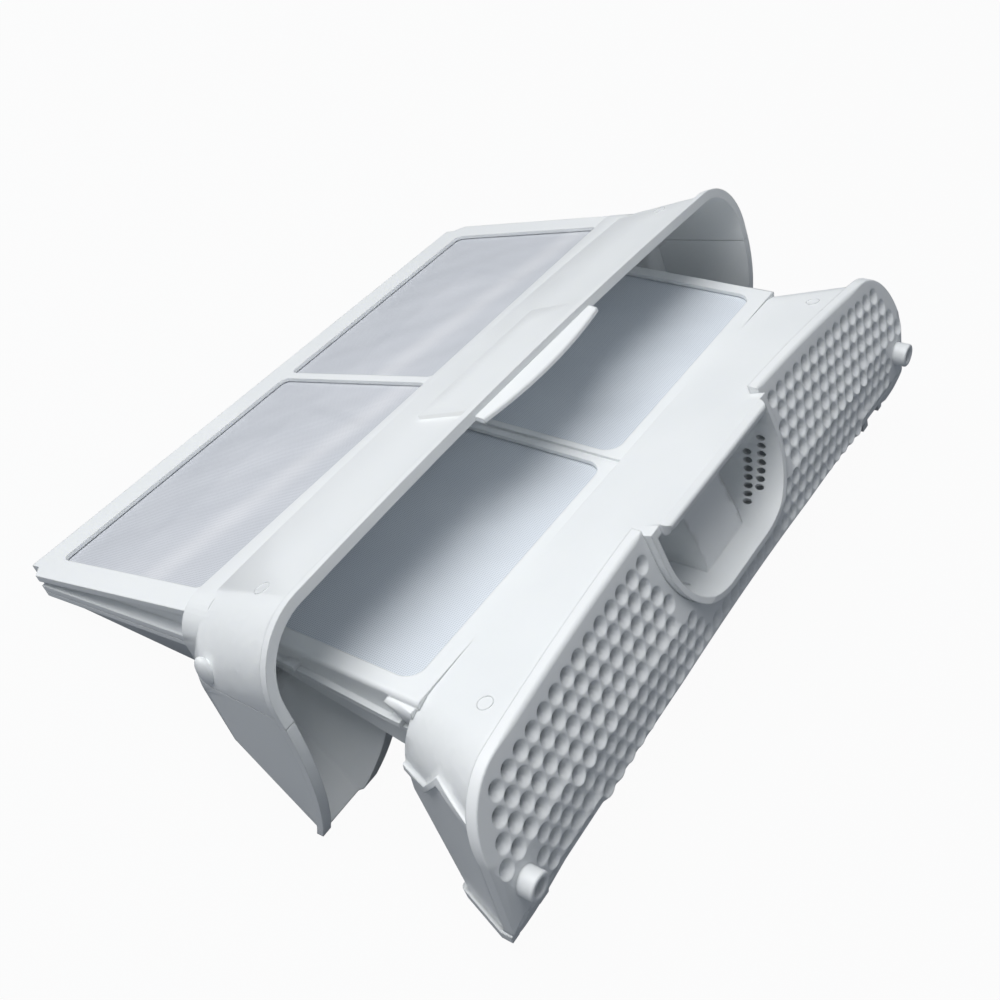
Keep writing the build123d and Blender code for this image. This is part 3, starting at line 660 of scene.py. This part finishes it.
# %% Hole centres by the same rule as the solids
PITCH, EDGE_ROOM, CROWN_ROOM, HOLE = 6.3, 3.6, 7.2, 2.75
HALF, CROWN, BELLY, FOOT, CORNER, ARCH = 140.0, 7.0, 42.2, 56.0, 22.0, 950.0
TOE_RUN, TOE_WIDTH, TOE_ROUND = 26.0, 12.0, 7.0
GRIP_HALF, GRIP_FLOOR, GRIP_ROUND, GRIP_WALL, SEAT_GAP = 36.0, 30.0, 24.0, 2.2, 0.1
BOSS_X, BOSS_DEPTH, BOSS_RADIUS = 131.3, 35.2, 4.4
HEEL = HALF - TOE_RUN


def arch_fall(x):
    """How far the arch of the head has fallen at x."""
    return ARCH - math.sqrt(ARCH**2 - x**2)


def bin_distance(x, z, half, low, rounding):
    """Distance outside a shape with upright sides and round lower corners."""
    across = abs(x) - (half - rounding)
    down = (low + rounding) - z
    return math.hypot(max(across, 0), max(down, 0)) + min(max(across, down), 0) - rounding


def plate_floor(x):
    """Height of the lower edge of the grille."""
    if abs(x) <= HEEL:
        return -BELLY - arch_fall(x)
    hollow = -BELLY - arch_fall(HEEL)
    return hollow + min((abs(x) - HEEL) / (TOE_RUN - TOE_WIDTH), 1) * (-FOOT - hollow)


centres = []
row_pitch = PITCH * math.sqrt(3) / 2
for row in range(int((CROWN + FOOT) / row_pitch)):
    for column in range(-int(HALF / PITCH), int(HALF / PITCH) + 1):
        x = (column + (row % 2) / 2) * PITCH
        z = CROWN - CROWN_ROOM - row * row_pitch - arch_fall(x)
        clear = (
            z >= plate_floor(x) + EDGE_ROOM
            and bin_distance(x, -z - arch_fall(x), HALF, -CROWN, CORNER) <= -EDGE_ROOM
            and bin_distance(x, z, HALF, -FOOT, TOE_ROUND) <= -EDGE_ROOM
            and bin_distance(x, z, GRIP_HALF + GRIP_WALL, -GRIP_FLOOR - GRIP_WALL, GRIP_ROUND)
            >= HOLE + GRIP_WALL / 2
            and math.hypot(abs(x) - BOSS_X, z + BOSS_DEPTH) - BOSS_RADIUS >= HOLE + GRIP_WALL / 2
        )
        if clear:
            centres.append((x, z))
print("holes:", len(centres))

# %% [markdown]
# The plate leans forward and then curls under, in three flat bands. Its outline is an arched roof,
# two round shoulders and two feet, with a deep notch for the finger recess.

# %% Bands of the plate
PLATE, FACE_Y, FACE_RUN = 3.5, -44.5, 36.6
FACE_LEAN = math.radians(20)
knee = (FACE_Y - FACE_RUN * math.sin(FACE_LEAN), CROWN - FACE_RUN * math.cos(FACE_LEAN))
shin = (-59.4, -43.0)
sole = (-55.5, -58.0)
bands = [((FACE_Y, CROWN), knee), (knee, shin), (shin, sole)]


def band_of(z):
    """Number of the band at a height."""
    return 0 if z > knee[1] else 1 if z > shin[1] else 2


def band_y(z, index):
    """Where the plane of a band lies at a height."""
    start, end = bands[index]
    return start[0] + (end[0] - start[0]) * (z - start[1]) / (end[1] - start[1])


# %% Outline of the plate
EDGE_STEPS, SHOULDER_STEPS, NOTCH_STEPS, TOE_STEPS = 40, 14, 16, 8


def arc(centre, radius, start, end, steps):
    """Points of an arc between two angles in degrees."""
    turns = [math.radians(start + (end - start) * k / steps) for k in range(steps + 1)]
    return [(centre[0] + radius * math.cos(t), centre[1] + radius * math.sin(t)) for t in turns]


def round_corner(before, corner, after, radius):
    """Points of a corner between two straight edges, rounded with a radius."""
    here = Vector(corner)
    back, ahead = (Vector(before) - here).normalized(), (Vector(after) - here).normalized()
    half = back.angle(ahead) / 2
    middle = here + (back + ahead).normalized() * radius / math.sin(half)
    first, last = here + back * radius / math.tan(half), here + ahead * radius / math.tan(half)
    start, sweep = first - middle, (last - middle).angle_signed(first - middle)
    turned = [Matrix.Rotation(sweep * k / TOE_STEPS, 2) @ start for k in range(TOE_STEPS + 1)]
    return [tuple(middle + spoke) for spoke in turned]


notch_half = GRIP_HALF + GRIP_WALL + SEAT_GAP
notch_low = -GRIP_FLOOR - GRIP_WALL - SEAT_GAP
notch_round = GRIP_ROUND + GRIP_WALL + SEAT_GAP
shoulder_z = CROWN - ARCH + math.sqrt((ARCH - CORNER) ** 2 - (HALF - CORNER) ** 2)
shoulder = (HALF - CORNER, shoulder_z)
shoulder_end = math.degrees(math.atan2(shoulder[1] - CROWN + ARCH, shoulder[0]))
roof_x = ARCH * math.cos(math.radians(shoulder_end))
heel_point = (HEEL, plate_floor(HEEL))
inner_toe, outer_toe = (HALF - TOE_WIDTH, -FOOT), (HALF, -FOOT)
floor_xs = [HEEL * k / EDGE_STEPS for k in range(EDGE_STEPS + 1)]
roof_xs = [roof_x + (notch_half - roof_x) * k / EDGE_STEPS for k in range(1, EDGE_STEPS + 1)]
right_side = [(x, plate_floor(x)) for x in floor_xs]
right_side += round_corner(heel_point, inner_toe, outer_toe, TOE_ROUND)
right_side += round_corner(inner_toe, outer_toe, (HALF, 0), TOE_ROUND)
right_side += arc(shoulder, CORNER, 0, shoulder_end, SHOULDER_STEPS)
right_side += [(x, CROWN - arch_fall(x)) for x in roof_xs]
notch_middle = (notch_half - notch_round, notch_low + notch_round)
right_side += arc(notch_middle, notch_round, 0, -90, NOTCH_STEPS)
left_side = [(-x, z) for x, z in reversed(right_side)]
outline = right_side + left_side[:-1]
print("outline points:", len(outline))

# %% [markdown]
# Each funnel is made of rings of points about the hole's middle, sheared to lie in its band, and is
# given by radius and depth. Geometry Nodes put one on every hole centre of the band.

# %% Funnels for the three bands of the plate
FUNNEL = [
    (2.95, 0.0),
    (2.86, 0.05),
    (2.66, 0.22),
    (2.4, 0.62),
    (2.1, 1.2),
    (1.8, 1.95),
    (1.6, 2.7),
    (1.56, PLATE),
]
SIDES = 20
ring_turns = [2 * math.pi * k / SIDES for k in range(SIDES)]


def funnel_mesh(name, start, end):
    """Open funnel for holes through the band between two points of the plate's side line."""
    tilt = (end[0] - start[0]) / (end[1] - start[1])
    rings = []
    work = bmesh.new()
    for radius, depth in FUNNEL:
        ring = []
        for turn in ring_turns:
            x, z = radius * math.cos(turn), radius * math.sin(turn)
            ring.append(work.verts.new(Vector((x, depth + tilt * z, z)) * MM))
        rings.append(ring)
    for outer_ring, inner_ring in zip(rings, rings[1:]):
        for k in range(SIDES):
            n = (k + 1) % SIDES
            work.faces.new((outer_ring[k], outer_ring[n], inner_ring[n], inner_ring[k]))
    mesh = bpy.data.meshes.new(name)
    work.to_mesh(mesh)
    work.free()
    made = bpy.data.objects.new(name, mesh)
    scene.collection.objects.link(made)
    return made


def funnel_tree():
    """Geometry Nodes that put one funnel on every point."""
    tree = bpy.data.node_groups.new("holes_on_plate", "GeometryNodeTree")
    tree.interface.new_socket("Geometry", in_out="INPUT", socket_type="NodeSocketGeometry")
    tree.interface.new_socket("Funnel", in_out="INPUT", socket_type="NodeSocketObject")
    tree.interface.new_socket("Finish", in_out="INPUT", socket_type="NodeSocketMaterial")
    tree.interface.new_socket("Geometry", in_out="OUTPUT", socket_type="NodeSocketGeometry")
    given = add_node(tree, "NodeGroupInput")
    shape = add_node(tree, "GeometryNodeObjectInfo", {"Object": given.outputs["Funnel"]})
    points = add_node(tree, "GeometryNodeMeshToPoints", {"Mesh": given.outputs["Geometry"]})
    spread = add_node(
        tree,
        "GeometryNodeInstanceOnPoints",
        {"Points": points.outputs["Points"], "Instance": shape.outputs["Geometry"]},
    )
    real = add_node(tree, "GeometryNodeRealizeInstances", {"Geometry": spread.outputs["Instances"]})
    painted = add_node(
        tree,
        "GeometryNodeSetMaterial",
        {"Geometry": real.outputs["Geometry"], "Material": given.outputs["Finish"]},
    )
    add_node(tree, "NodeGroupOutput", {"Geometry": painted.outputs["Geometry"]})
    return tree


hole_tree = funnel_tree()
hole_sockets = {s.name: s.identifier for s in hole_tree.interface.items_tree if s.in_out == "INPUT"}


def holes_on_band(index):
    """The funnels of one band as one mesh, in the flat drawing."""
    here = [(x, z) for x, z in centres if band_of(z) == index]
    points = bpy.data.meshes.new(f"hole_points_{index}")
    points.from_pydata([Vector((x, band_y(z, index), z)) * MM for x, z in here], [], [])
    carrier = bpy.data.objects.new(f"hole_points_{index}", points)
    scene.collection.objects.link(carrier)
    funnel = funnel_mesh(f"funnel_{index}", *bands[index])
    spread = carrier.modifiers.new("holes", "NODES")
    spread.node_group = hole_tree
    spread[hole_sockets["Funnel"]] = funnel
    spread[hole_sockets["Finish"]] = plastic
    bpy.context.view_layer.update()
    seen = carrier.evaluated_get(bpy.context.evaluated_depsgraph_get())
    mesh = bpy.data.meshes.new_from_object(seen)
    bpy.data.objects.remove(carrier)
    bpy.data.objects.remove(funnel)
    print("band", index, "holes", len(here))
    return mesh


# %% [markdown]
# The web between the funnels is one triangulated sheet: the outline and the mouths of all funnels
# go in as fixed edges, and only what lies between them is kept. The same is done for the back of
# the plate, and rings along the outline join both with a rounded edge. The rounding is full along
# the roof, and smaller elsewhere, where the funnels come close to the edge.

# %% Front and back of the plate, and its rounded edge
ROUNDING = [(0.0, 1.3), (0.12, 0.75), (0.4, 0.35), (0.8, 0.1), (1.3, 0.0)]
TIGHT_SHARE, NOTCH_TAPER, SHOULDER_TAPER = 0.38, 4.0, 10.0
BOSS_MOUTH = BOSS_RADIUS - 0.2  # the web ends a little inside the boss
WEB_NEAR = 1e-5  # points nearer than this are one point of the web


def edge_share(x, z):
    """How much of the full rounding there is room for at a point of the outline."""
    if z < CROWN - arch_fall(x) - NEAR:
        return TIGHT_SHARE
    taper = min((abs(x) - notch_half) / NOTCH_TAPER, (roof_x - abs(x)) / SHOULDER_TAPER, 1)
    return TIGHT_SHARE + (1 - TIGHT_SHARE) * max(taper, 0)


def inset(points, distance):
    """The outline moved inwards, by as much of the distance as there is room for."""
    moved = []
    for k, here in enumerate(points):
        before, after = Vector(points[k - 1]), Vector(points[(k + 1) % len(points)])
        along_in = (Vector(here) - before).normalized()
        along_out = (after - Vector(here)).normalized()
        normal = Vector((-along_in.y - along_out.y, along_in.x + along_out.x)).normalized()
        share = max(normal.dot(Vector((-along_in.y, along_in.x))), 0.5)
        moved.append(tuple(Vector(here) + normal * distance * edge_share(*here) / share))
    return moved


def web_sheet(work, border, radius, depth):
    """Triangles between a border and round holes, at a depth behind the face of the plate."""
    flat, loops, bands_at = list(border), [list(range(len(border)))], [None] * len(border)
    for x, z in centres:
        loops.append(list(range(len(flat), len(flat) + SIDES)))
        flat += [(x + radius * math.cos(t), z + radius * math.sin(t)) for t in ring_turns]
        bands_at += [band_of(z)] * SIDES
    for side in (-1, 1):
        loops.append(list(range(len(flat), len(flat) + SIDES)))
        flat += [
            (side * BOSS_X + BOSS_MOUTH * math.cos(t), BOSS_MOUTH * math.sin(t) - BOSS_DEPTH)
            for t in ring_turns
        ]
        bands_at += [None] * SIDES
    found = delaunay_2d_cdt([Vector(p) for p in flat], [], loops, 1, WEB_NEAR)
    corners, triangles, from_corner, from_loop = found[0], found[2], found[3], found[5]
    made = []
    for corner, sources in zip(corners, from_corner):
        band = bands_at[sources[0]] if sources else None
        y = band_y(corner.y, band_of(corner.y) if band is None else band) + depth
        made.append(work.verts.new(Vector((corner.x, y, corner.y)) * MM))
    for triangle, sources in zip(triangles, from_loop):
        if list(sources) == [0]:
            work.faces.new([made[k] for k in triangle])


plate_work = bmesh.new()
web_sheet(plate_work, inset(outline, ROUNDING[-1][0]), FUNNEL[0][0], ROUNDING[-1][1])
web_sheet(plate_work, outline, FUNNEL[-1][0], PLATE)
edge_rings = [
    [(x, z, depth * edge_share(*start)) for (x, z), start in zip(inset(outline, distance), outline)]
    for distance, depth in ROUNDING
]
edge_rings.insert(0, [(x, z, PLATE) for x, z in outline])
edge_spots = [
    [(x, band_y(z, band_of(z)) + depth, z) for x, z, depth in ring] for ring in edge_rings
]
edge_verts = [[plate_work.verts.new(Vector(spot) * MM) for spot in ring] for ring in edge_spots]
for lower, upper in zip(edge_verts, edge_verts[1:]):
    for k in range(len(outline)):
        n = (k + 1) % len(outline)
        plate_work.faces.new((lower[k], lower[n], upper[n], upper[k]))
for index in range(len(bands)):
    band_mesh = holes_on_band(index)
    plate_work.from_mesh(band_mesh)
    bpy.data.meshes.remove(band_mesh)

# %% [markdown]
# A hollow boss stands at each end of the plate. It is turned from a side profile with rounded
# edges, given by radius and distance ahead.

# %% Bosses, and the plate as one piece
BOSS = [
    (4.4, 55.6),
    (4.4, 62.3),
    (4.26, 62.75),
    (3.9, 63.0),
    (3.1, 63.0),
    (2.74, 62.75),
    (2.6, 62.3),
    (2.6, 56.6),
]
BOSS_SIDES, PLATE_MERGE = 32, 0.004 * MM
boss_turns = [2 * math.pi * k / BOSS_SIDES for k in range(BOSS_SIDES)]
for side in (-1, 1):
    rings = []
    for radius, ahead in BOSS:
        spots = [
            (side * BOSS_X + radius * math.cos(t), -ahead, radius * math.sin(t) - BOSS_DEPTH)
            for t in boss_turns
        ]
        rings.append([plate_work.verts.new(Vector(spot) * MM) for spot in spots])
    for lower, upper in zip(rings, rings[1:]):
        for k in range(BOSS_SIDES):
            n = (k + 1) % BOSS_SIDES
            plate_work.faces.new((lower[k], lower[n], upper[n], upper[k]))
    plate_work.faces.new(rings[0])
    plate_work.faces.new(rings[-1])
bmesh.ops.remove_doubles(plate_work, verts=plate_work.verts, dist=PLATE_MERGE)
bmesh.ops.recalc_face_normals(plate_work, faces=plate_work.faces)
grille_mesh = bpy.data.meshes.new("head_grille_skin")
plate_work.to_mesh(grille_mesh)
plate_work.free()
finish_piece("head_grille_skin", grille_mesh, inner_place, "inner", GRILLE_SHARP, ["head_grille"])

# %% [markdown]
# ## Floor, light and camera
# The photograph shows the filter from above its near end, on plain white. A wide soft lamp overhead
# and a little behind keeps the tops bright and lets the near ends fall into a cool shade.

# %% Floor, which the camera sees almost evenly white and which still throws little light back
FLOOR_HALF, GLOW, CAMERA_SHARE = 4.0, 1.02, 0.94
floor_work = bmesh.new()
bmesh.ops.create_grid(floor_work, x_segments=1, y_segments=1, size=FLOOR_HALF)
floor_mesh = bpy.data.meshes.new("floor")
floor_work.to_mesh(floor_mesh)
floor_work.free()
floor = bpy.data.objects.new("floor", floor_mesh)
scene.collection.objects.link(floor)
paper, tree, output = new_material("white_paper_floor")
path = add_node(tree, "ShaderNodeLightPath")
sheet_white = add_node(tree, "ShaderNodeBsdfDiffuse", {"Color": linear("70757c")})
glow = add_node(tree, "ShaderNodeEmission", {"Color": linear("ffffff"), "Strength": GLOW})
share = add_node(
    tree,
    "ShaderNodeMath",
    {0: path.outputs["Is Camera Ray"], 1: CAMERA_SHARE},
    operation="MULTIPLY",
)
blend = add_node(
    tree,
    "ShaderNodeMixShader",
    {0: share.outputs["Value"], 1: sheet_white.outputs["BSDF"], 2: glow.outputs["Emission"]},
)
tree.links.new(blend.outputs["Shader"], output.inputs["Surface"])
floor_mesh.materials.append(paper)

# %% World and lamps
world = bpy.data.worlds.new("studio")
scene.world = world
world.use_nodes = True
tree = world.node_tree
tree.nodes.clear()
sky = add_node(tree, "ShaderNodeBackground", {"Color": linear("e4ebf5"), "Strength": 0.27})
add_node(tree, "ShaderNodeOutputWorld", {"Surface": sky.outputs["Background"]})


def soft_lamp(name, where, aim, size, power):
    """A square area lamp that faces a point."""
    data = bpy.data.lights.new(name, "AREA")
    data.size = size
    data.energy = power
    lamp = bpy.data.objects.new(name, data)
    lamp.location = where
    lamp.rotation_euler = (Vector(aim) - Vector(where)).to_track_quat("-Z", "Y").to_euler()
    scene.collection.objects.link(lamp)


soft_lamp("overhead", (-0.15, 0.35, 1.1), (0, 0, 0.03), 0.9, 12.0)
soft_lamp("end_fill", (-1.1, 0.1, 0.5), (0, -0.05, 0.04), 0.6, 0.5)

# %% Camera of the photograph
view = bpy.data.cameras.new("photo_view")
view.sensor_width = 36.0
view.lens = 44.79
view.clip_start = 0.01
camera = bpy.data.objects.new("photo_view", view)
camera.location = (-0.266068, -0.166519, 0.339930)
camera.rotation_euler = [math.radians(a) for a in (43.0313, -2.3220, -56.2873)]
scene.collection.objects.link(camera)
scene.camera = camera
scene.view_settings.view_transform = "Standard"
